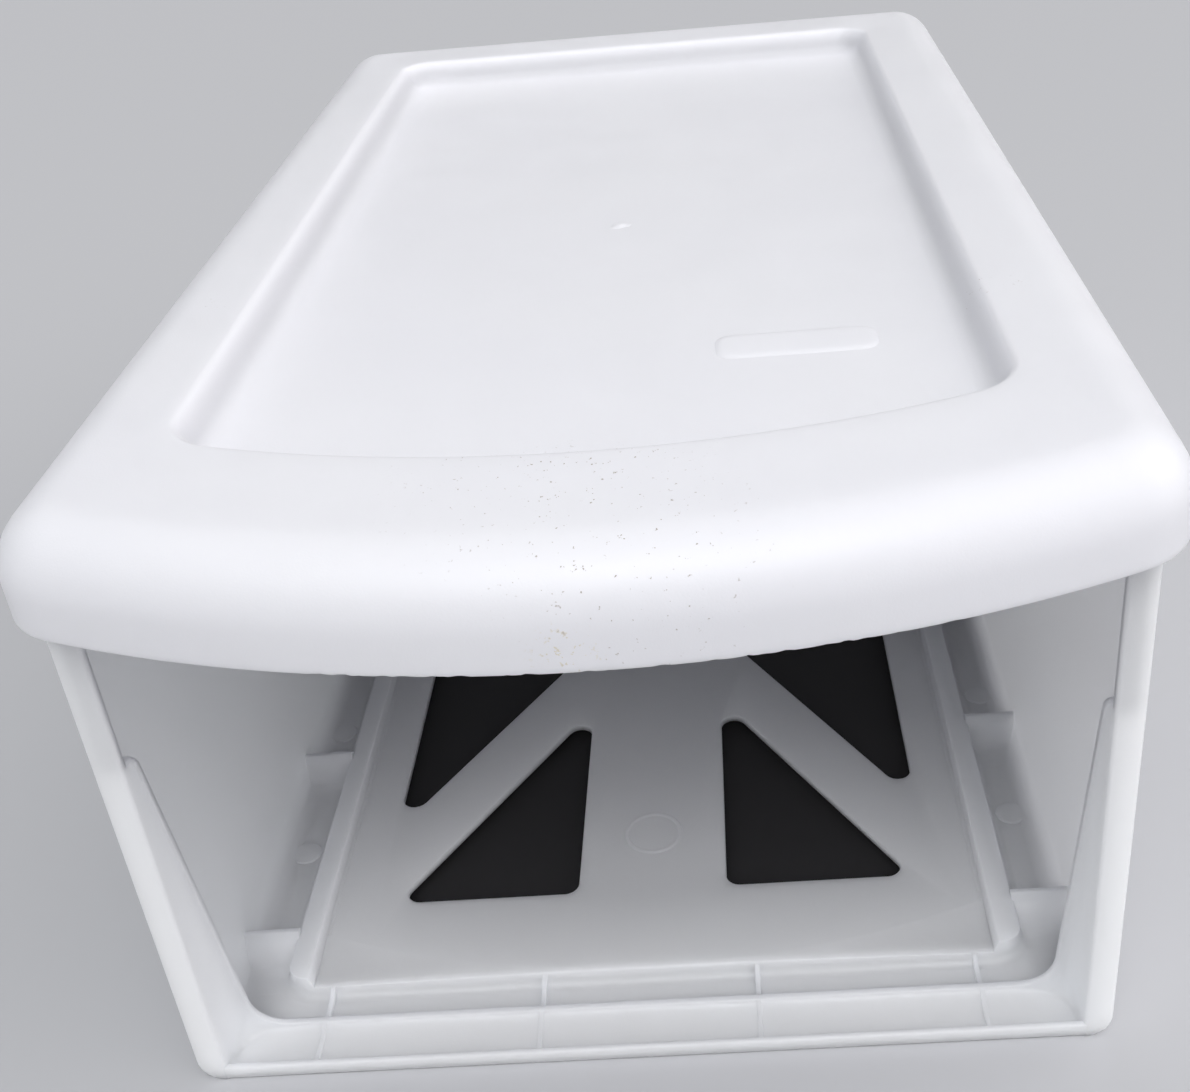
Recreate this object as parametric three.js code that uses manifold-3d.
// Housing of a shoe-box size stacking storage drawer, moulded in white polypropylene.
// Millimetres, +Z up, +Y towards the back, origin at the bottom centre of the whole object.
// Two mouldings: the push-on top cover, and the body that it closes. The body is one moulding,
// laid out here as walls and floor regions that stand a hair's breadth apart.
import * as THREE from 'three';
import { mergeVertices } from 'three/addons/utils/BufferGeometryUtils.js';
import Module from 'manifold-3d';

const wasm = await Module();
wasm.setup();

// Driving dimensions
const WIDTH = 210;                 // across the cover
const DEPTH = 360.8;               // front of the cover's bow to its back edge
const HEIGHT = 137;                // table to the cover's rim
const WALL = 1.8;                  // body wall thickness
const GAP = 0.3;                   // between regions that touch

// Top cover
const COVER_SKIN = 2;
const SKIRT_BOTTOM = 117;
const EDGE_RADIUS = 12.6;          // rolled edge between skirt and rim
const ARC_Y = 67.7;                // centre of the concentric bowed fronts
const COVER_FRONT_RADIUS = ARC_Y + DEPTH / 2;
const COVER_CORNER_FRONT = 18;
const COVER_CORNER_BACK = 13.5;
const RECESS_HALF_WIDTH = 79.5;
const RECESS_BACK = 151.5;
const RECESS_FRONT_RADIUS = 210.7;
const RECESS_DEPTH = 7.5;
const RECESS_SLOPE = 5;            // plan width of the recess wall
const RECESS_CORNER_FRONT = 14;
const RECESS_CORNER_BACK = 9;

// Body walls
const BODY_FRONT = -158.3;
const BODY_BACK = 171;             // outer face at the foot
const BODY_HALF_WIDTH = 95.6;      // outer face at the foot
const DRAFT = 0.0308;              // outward lean per millimetre of height
const FRONT_DRAFT = 0.045;         // backward lean of the front edges
const BODY_MID = (BODY_FRONT + BODY_BACK) / 2;
const BODY_TOP = 129.2;            // under the cover's rolled edge
const TOP_FLANGE = 1.9;            // how far out and how thick the top flange is
const TOP_FLANGE_START = -144;     // behind the cover's rounded front corners
const BODY_CORNER = 10;
const WALL_END = 158;              // side walls end where the back corners begin
const STRIP_WIDTH = 5.8;           // front face of a side wall

// Rebate that the drawer front closes into
const REBATE_TOP = 81;
const REBATE_INNER_LOW = 85;
const REBATE_INNER_HIGH = 91.5;
const REBATE_DEPTH_LOW = 10.3;
const REBATE_DEPTH_HIGH = 3.7;
const REBATE_SKIN = 1.5;
const REBATE_CORNER = 8;
const SILL_RIDGE = 4;              // height of the ridge along the sill

// Floor
const FLOOR_SKIN = 1.6;
const SILL_LIP = 3.2;
const SILL_RIBS = [-70.7, -23.4, 23.4, 70.7];
const PANEL_TOP = 5;
const PANEL_SKIN = 2;
const PLATFORM_HALF_WIDTH = 81.8;
const PLATFORM_FRONT = -138.6;
const PLATFORM_CORNER = 7;
const RAIL_WIDTH = 6.8;
const RAIL_TOP = 7;
const RAIL_CREST = 1;             // crest's distance from the rail's inner foot
const RAIL_SHOULDER = 5.6;        // height of the rail's outer edge
const CROSS_RIB_OFFSETS = [-130.7, -68.2, 0, 68.2, 130.7];
const CROSS_RIB_RAMP = 13;

// Openings in the platform, for one quarter and one side
const OPENING_FRONT = -115;
const OPENING_OUTER = 60.5;
const OPENING_INNER = 17.4;
const OPENING_APEX = -45.2;
const SIDE_OPENING_OUTER = 64.6;
const SIDE_OPENING_TIP = -90;

const ARC_STEPS = 14;
const CORNER_STEPS = 4;
const FILLET_STEPS = 4;

const plastic = new THREE.MeshStandardMaterial({ color: 0xe9ebf0, roughness: 0.42, metalness: 0 });

// A closed surface through rings of equal length, with a flat cap on the first and last ring.
// Rings run counter-clockwise seen from +Z, and the first cap faces down.
function loft(rings) {
  const count = rings[0].length;
  const positions = rings.flat().flatMap((p) => [p.x, p.y, p.z]);
  const index = [];
  for (let i = 0; i + 1 < rings.length; i += 1) {
    for (let k = 0; k < count; k += 1) {
      const a = i * count + k;
      const b = i * count + ((k + 1) % count);
      index.push(a, b, b + count, a, b + count, a + count);
    }
  }
  const cap = (ring, offset, faceUp) => {
    const flat = ring.map((p) => new THREE.Vector2(p.x, p.y));
    for (const [a, b, c] of THREE.ShapeUtils.triangulateShape(flat, [])) {
      index.push(offset + a, offset + (faceUp ? b : c), offset + (faceUp ? c : b));
    }
  };
  cap(rings[0], 0, false);
  cap(rings.at(-1), (rings.length - 1) * count, true);
  const geometry = new THREE.BufferGeometry();
  geometry.setAttribute('position', new THREE.Float32BufferAttribute(positions, 3));
  geometry.setIndex(index);
  return geometry;
}

function toSolid(geometry) {
  const bare = geometry.clone();
  bare.deleteAttribute('normal');
  bare.deleteAttribute('uv');
  const merged = mergeVertices(bare, 1e-4);
  return new wasm.Manifold(new wasm.Mesh({
    numProp: 3,
    vertProperties: new Float32Array(merged.attributes.position.array),
    triVerts: new Uint32Array(merged.index.array),
  }));
}

function toGeometry(solid) {
  const mesh = solid.getMesh();
  const geometry = new THREE.BufferGeometry();
  geometry.setAttribute('position', new THREE.Float32BufferAttribute(mesh.vertProperties, 3));
  geometry.setIndex(new THREE.Uint32BufferAttribute(mesh.triVerts, 1));
  return geometry;
}

function joined(geometries) {
  return toGeometry(geometries.map(toSolid).reduce((sum, next) => sum.add(next)));
}

function common(first, second) {
  return toGeometry(toSolid(first).intersect(toSolid(second)));
}

// The same piece on the other side of the X = 0 plane, faces still outwards.
function mirrored(geometry) {
  const copy = geometry.clone().scale(-1, 1, 1);
  const index = copy.index.array;
  for (let i = 0; i < index.length; i += 3) {
    [index[i + 1], index[i + 2]] = [index[i + 2], index[i + 1]];
  }
  copy.deleteAttribute('normal');
  return copy;
}

function box(x0, x1, y0, y1, z0, z1) {
  const geometry = new THREE.BoxGeometry(x1 - x0, y1 - y0, z1 - z0);
  return geometry.translate((x0 + x1) / 2, (y0 + y1) / 2, (z0 + z1) / 2);
}

function arc(cx, cy, radius, from, to, steps) {
  return Array.from({ length: steps + 1 }, (_, i) => {
    const angle = from + ((to - from) * i) / steps;
    return [cx + radius * Math.cos(angle), cy + radius * Math.sin(angle)];
  });
}

// Plan outline with straight sides and back, a bowed front and four rounded corners.
function bowedOutline(z, { halfWidth, back, frontRadius, cornerFront, cornerBack }) {
  const cx = halfWidth - cornerFront;
  const cy = ARC_Y - Math.sqrt((frontRadius - cornerFront) ** 2 - cx ** 2);
  const bx = halfWidth - cornerBack;
  const by = back - cornerBack;
  const turn = Math.atan2(cy - ARC_Y, cx);
  const points = [
    ...arc(0, ARC_Y, frontRadius, -Math.PI - turn, turn, ARC_STEPS),
    ...arc(cx, cy, cornerFront, turn, 0, CORNER_STEPS).slice(1),
    ...arc(bx, by, cornerBack, 0, Math.PI / 2, CORNER_STEPS),
    ...arc(-bx, by, cornerBack, Math.PI / 2, Math.PI, CORNER_STEPS),
    ...arc(-cx, cy, cornerFront, Math.PI, Math.PI - turn, CORNER_STEPS).slice(0, -1),
  ];
  return points.map(([x, y]) => new THREE.Vector3(x, y, z));
}

function coverOutline(inset, z) {
  return bowedOutline(z, {
    halfWidth: WIDTH / 2 - inset,
    back: DEPTH / 2 - inset,
    frontRadius: COVER_FRONT_RADIUS - inset,
    cornerFront: COVER_CORNER_FRONT - inset,
    cornerBack: COVER_CORNER_BACK - inset,
  });
}

function recessOutline(inset, z) {
  return bowedOutline(z, {
    halfWidth: RECESS_HALF_WIDTH - inset,
    back: RECESS_BACK - inset,
    frontRadius: RECESS_FRONT_RADIUS - inset,
    cornerFront: RECESS_CORNER_FRONT - inset,
    cornerBack: RECESS_CORNER_BACK - inset,
  });
}

// Shell of even thickness: sunken floor, sloping recess wall, flat rim, rolled edge and skirt.
function topCover() {
  const edgeCentre = HEIGHT - EDGE_RADIUS;
  const rolled = (radius, i) => {
    const angle = (Math.PI / 2) * (i / FILLET_STEPS);
    const inset = EDGE_RADIUS - radius * Math.cos(angle);
    return coverOutline(inset, edgeCentre + radius * Math.sin(angle));
  };
  const steps = Array.from({ length: FILLET_STEPS + 1 }, (_, i) => i);
  const under = HEIGHT - COVER_SKIN;
  const recessFloor = HEIGHT - RECESS_DEPTH;
  return loft([
    recessOutline(RECESS_SLOPE - 1.1, recessFloor - COVER_SKIN),
    recessOutline(-1.1, under),
    ...steps.toReversed().map((i) => rolled(EDGE_RADIUS - COVER_SKIN, i)),
    coverOutline(COVER_SKIN, SKIRT_BOTTOM),
    coverOutline(0, SKIRT_BOTTOM),
    ...steps.map((i) => rolled(EDGE_RADIUS, i)),
    recessOutline(0, HEIGHT),
    recessOutline(RECESS_SLOPE, recessFloor),
  ]);
}

const outerX = (z) => BODY_HALF_WIDTH + DRAFT * z;
const outerBack = (z) => BODY_BACK + DRAFT * z;
const bodyFront = (z) => BODY_FRONT + FRONT_DRAFT * z;
const share = (z, low, high) => low + (high - low) * Math.min(1, z / REBATE_TOP);
const rebateFront = (z) => bodyFront(z) + share(z, REBATE_DEPTH_LOW, REBATE_DEPTH_HIGH);

// Inner edge of the rebate flange: straight, with a rounded turn into the sill.
function rebateInner(z) {
  const straight = share(z, REBATE_INNER_LOW, REBATE_INNER_HIGH);
  const drop = SILL_RIDGE + REBATE_CORNER - z;
  if (drop <= 0) return straight;
  return straight - REBATE_CORNER + Math.sqrt(REBATE_CORNER ** 2 - drop ** 2);
}

function ring(z, points) {
  return points.map(([x, y]) => new THREE.Vector3(x, y, z));
}

function rightSideWall() {
  const wall = (z, back) => {
    const x = outerX(z);
    return ring(z, [
      [x - STRIP_WIDTH, bodyFront(z)], [x, bodyFront(z)], [x, WALL_END], [x - WALL, WALL_END],
      [x - WALL, back], [x - STRIP_WIDTH, back],
    ]);
  };
  const flange = (z) => {
    const front = rebateFront(z);
    return ring(z, [
      [rebateInner(z), front], [outerX(z) - 1, front],
      [outerX(z) - 1, front + REBATE_SKIN], [rebateInner(z), front + REBATE_SKIN],
    ]);
  };
  const corner = [0, 1, 3, 5, REBATE_CORNER].map((up) => SILL_RIDGE + up);
  const topX = outerX(BODY_TOP);
  const stripFoot = REBATE_TOP + 0.5;
  return joined([
    loft([
      wall(0, rebateFront(0) + REBATE_SKIN),
      wall(REBATE_TOP, rebateFront(REBATE_TOP) + REBATE_SKIN),
      wall(stripFoot, bodyFront(stripFoot) + WALL),
      wall(BODY_TOP, bodyFront(BODY_TOP) + WALL),
    ]),
    loft([...corner.map(flange), flange(REBATE_TOP)]),
    box(topX - WALL, topX + TOP_FLANGE, TOP_FLANGE_START, WALL_END, BODY_TOP - TOP_FLANGE, BODY_TOP),
  ]);
}

// Back wall with the two rounded vertical corners, and the top flange round it.
function backWall() {
  const band = (z, outset, skin) => {
    const x = outerX(z) + outset;
    const y = outerBack(z) + outset;
    const radius = BODY_CORNER + outset;
    const start = WALL_END + GAP;
    const outer = [
      [x, start],
      ...arc(x - radius, y - radius, radius, 0, Math.PI / 2, CORNER_STEPS),
      ...arc(radius - x, y - radius, radius, Math.PI / 2, Math.PI, CORNER_STEPS),
      [-x, start],
    ];
    const inner = [
      [skin - x, start],
      ...arc(radius - x, y - radius, radius - skin, Math.PI, Math.PI / 2, CORNER_STEPS),
      ...arc(x - radius, y - radius, radius - skin, Math.PI / 2, 0, CORNER_STEPS),
      [x - skin, start],
    ];
    return ring(z, [...outer, ...inner]);
  };
  const flangeFoot = BODY_TOP - TOP_FLANGE;
  return joined([
    loft([band(0, 0, WALL), band(BODY_TOP, 0, WALL)]),
    loft([band(flangeFoot, TOP_FLANGE, 3), band(BODY_TOP, TOP_FLANGE, 3)]),
  ]);
}

// A YZ outline carried along X.
function alongX(outline, x0, x1) {
  const shape = new THREE.Shape(outline.map(([y, z]) => new THREE.Vector2(y, z)));
  const geometry = new THREE.ExtrudeGeometry(shape, { depth: x1 - x0, bevelEnabled: false });
  geometry.rotateY(Math.PI / 2).rotateX(Math.PI / 2);
  return geometry.translate(x0, 0, 0);
}

// An XZ outline carried along Y.
function alongY(outline, y0, y1) {
  const shape = new THREE.Shape(outline.map(([x, z]) => new THREE.Vector2(x, z)));
  const geometry = new THREE.ExtrudeGeometry(shape, { depth: y1 - y0, bevelEnabled: false });
  return geometry.rotateX(Math.PI / 2).translate(0, y1, 0);
}

// Sill: thin front lip, shallow channel with four fore-and-aft ribs, and the rebate ridge.
function frontSill() {
  const halfWidth = BODY_HALF_WIDTH - STRIP_WIDTH - GAP;
  const ridgeHalf = rebateInner(SILL_RIDGE) - GAP;
  const ridgeFront = rebateFront(0);
  const ridgeBack = ridgeFront + REBATE_SKIN;
  const floorBack = PLATFORM_FRONT - GAP;
  const lipBack = BODY_FRONT + REBATE_SKIN;
  const pieces = [
    box(-halfWidth, halfWidth, BODY_FRONT, floorBack, 0, FLOOR_SKIN),
    box(-halfWidth, halfWidth, BODY_FRONT, lipBack, 0, SILL_LIP),
    alongX([
      [lipBack + 3, FLOOR_SKIN - 0.5], [ridgeBack, FLOOR_SKIN - 0.5], [ridgeBack, SILL_RIDGE],
      [ridgeFront, SILL_RIDGE], [ridgeFront - 3, FLOOR_SKIN + 0.6],
    ], -ridgeHalf, ridgeHalf),
  ];
  for (const x of SILL_RIBS) {
    const half = WALL / 2;
    pieces.push(box(x - half, x + half, BODY_FRONT + 0.5, floorBack, 0.5, SILL_LIP));
  }
  return joined(pieces);
}

// Side trough beside the platform, crossed by ribs with a sloping front and a steep back.
function rightTrough() {
  const x0 = PLATFORM_HALF_WIDTH + GAP;
  const x1 = BODY_HALF_WIDTH - WALL - GAP;
  const front = PLATFORM_FRONT;
  const pieces = [box(x0, x1, front, WALL_END, 0, FLOOR_SKIN)];
  for (const offset of CROSS_RIB_OFFSETS) {
    const crest = BODY_MID + offset;
    pieces.push(alongX([
      [crest - CROSS_RIB_RAMP, FLOOR_SKIN - 0.5], [crest + WALL, FLOOR_SKIN - 0.5],
      [crest + WALL, RAIL_TOP], [crest, RAIL_TOP],
      [crest - CROSS_RIB_RAMP * 0.3, RAIL_TOP * 0.55], [crest - CROSS_RIB_RAMP, FLOOR_SKIN],
    ], x0, x1));
  }
  return joined(pieces);
}

// Floor strip behind the platform, filling the rounded back corners.
function rearTrough() {
  const front = 2 * BODY_MID - PLATFORM_FRONT + GAP;
  const shoulder = WALL_END + GAP;
  const radius = BODY_CORNER - WALL - GAP;
  const cx = BODY_HALF_WIDTH - BODY_CORNER;
  const cy = BODY_BACK - BODY_CORNER;
  const outline = [
    [-PLATFORM_HALF_WIDTH, front], [PLATFORM_HALF_WIDTH, front],
    [PLATFORM_HALF_WIDTH, shoulder], [cx + radius, shoulder],
    ...arc(cx, cy, radius, 0, Math.PI / 2, CORNER_STEPS),
    ...arc(-cx, cy, radius, Math.PI / 2, Math.PI, CORNER_STEPS),
    [-cx - radius, shoulder], [-PLATFORM_HALF_WIDTH, shoulder],
  ];
  return loft([ring(0, outline), ring(FLOOR_SKIN, outline)]);
}

// Outline whose corners are rounded by setting each corner back along its two sides.
function roundedPath(path, corners, setback) {
  const vectors = corners.map(([x, y]) => new THREE.Vector2(x, y));
  const count = vectors.length;
  vectors.forEach((corner, i) => {
    const before = vectors[(i + count - 1) % count];
    const after = vectors[(i + 1) % count];
    const enter = corner.clone().add(before.clone().sub(corner).setLength(setback));
    const leave = corner.clone().add(after.clone().sub(corner).setLength(setback));
    if (i === 0) path.moveTo(enter.x, enter.y);
    else path.lineTo(enter.x, enter.y);
    path.quadraticCurveTo(corner.x, corner.y, leave.x, leave.y);
  });
  path.closePath();
  return path;
}

function rectangle(halfWidth, y0, y1) {
  return [[-halfWidth, y0], [halfWidth, y0], [halfWidth, y1], [-halfWidth, y1]];
}

// Triangles and blunted side openings left by the platform's crossing straps.
function openingOutlines() {
  const back = (y) => 2 * BODY_MID - y;
  const slope = (OPENING_APEX - OPENING_FRONT) / (OPENING_OUTER - OPENING_INNER);
  const blunt = SIDE_OPENING_TIP + slope * (SIDE_OPENING_OUTER - OPENING_INNER);
  const outlines = [];
  for (const side of [-1, 1]) {
    for (const place of [(y) => y, back]) {
      outlines.push([
        [side * OPENING_OUTER, place(OPENING_FRONT)],
        [side * OPENING_INNER, place(OPENING_FRONT)],
        [side * OPENING_INNER, place(OPENING_APEX)],
      ]);
    }
    outlines.push([
      [side * SIDE_OPENING_OUTER, SIDE_OPENING_TIP],
      [side * OPENING_INNER, blunt],
      [side * OPENING_INNER, back(blunt)],
      [side * SIDE_OPENING_OUTER, back(SIDE_OPENING_TIP)],
    ]);
  }
  return outlines;
}

function extruded(shape, z0, z1) {
  const settings = { depth: z1 - z0, bevelEnabled: false, curveSegments: 3 };
  return new THREE.ExtrudeGeometry(shape, settings).translate(0, 0, z0);
}

// Raised platform: pierced panel, riser all round and a runner rail along each side.
function basePanel() {
  const back = 2 * BODY_MID - PLATFORM_FRONT;
  const outline = rectangle(PLATFORM_HALF_WIDTH, PLATFORM_FRONT, back);
  const panel = roundedPath(new THREE.Shape(), outline, PLATFORM_CORNER);
  panel.holes = openingOutlines().map((corners) => roundedPath(new THREE.Path(), corners, 3));
  const riser = roundedPath(new THREE.Shape(), outline, PLATFORM_CORNER);
  const inside = rectangle(PLATFORM_HALF_WIDTH - WALL, PLATFORM_FRONT + WALL, back - WALL);
  riser.holes = [roundedPath(new THREE.Path(), inside, PLATFORM_CORNER - WALL)];
  const foot = PLATFORM_HALF_WIDTH - RAIL_WIDTH;
  const wedge = alongY([
    [foot, PANEL_TOP - 1], [PLATFORM_HALF_WIDTH, PANEL_TOP - 1],
    [PLATFORM_HALF_WIDTH, RAIL_SHOULDER], [foot + RAIL_CREST, RAIL_TOP], [foot, PANEL_TOP],
  ], PLATFORM_FRONT + 0.5, back - 0.5);
  const bounds = roundedPath(new THREE.Shape(), outline, PLATFORM_CORNER);
  const rightRail = common(wedge, extruded(bounds, 0, RAIL_TOP + 1));
  const leftRail = rightRail.clone().rotateZ(Math.PI).translate(0, 2 * BODY_MID, 0);
  return joined([
    extruded(panel, PANEL_TOP - PANEL_SKIN, PANEL_TOP),
    extruded(riser, 0, PANEL_TOP - 0.5),
    rightRail,
    leftRail,
  ]);
}

const crate = new THREE.Group();

function addNode(parent, name, geometry) {
  geometry.computeVertexNormals();
  const mesh = new THREE.Mesh(geometry, plastic);
  mesh.name = name;
  parent.add(mesh);
}

const body = new THREE.Group();
const sideWall = rightSideWall();
const trough = rightTrough();
addNode(body, 'right_side_wall', sideWall);
addNode(body, 'left_side_wall', mirrored(sideWall));
addNode(body, 'back_wall', backWall());
addNode(body, 'front_sill', frontSill());
addNode(body, 'base_panel', basePanel());
addNode(body, 'right_trough', trough);
addNode(body, 'left_trough', mirrored(trough));
addNode(body, 'rear_trough', rearTrough());
crate.add(body);
addNode(crate, 'top_cover', topCover());

export default crate;
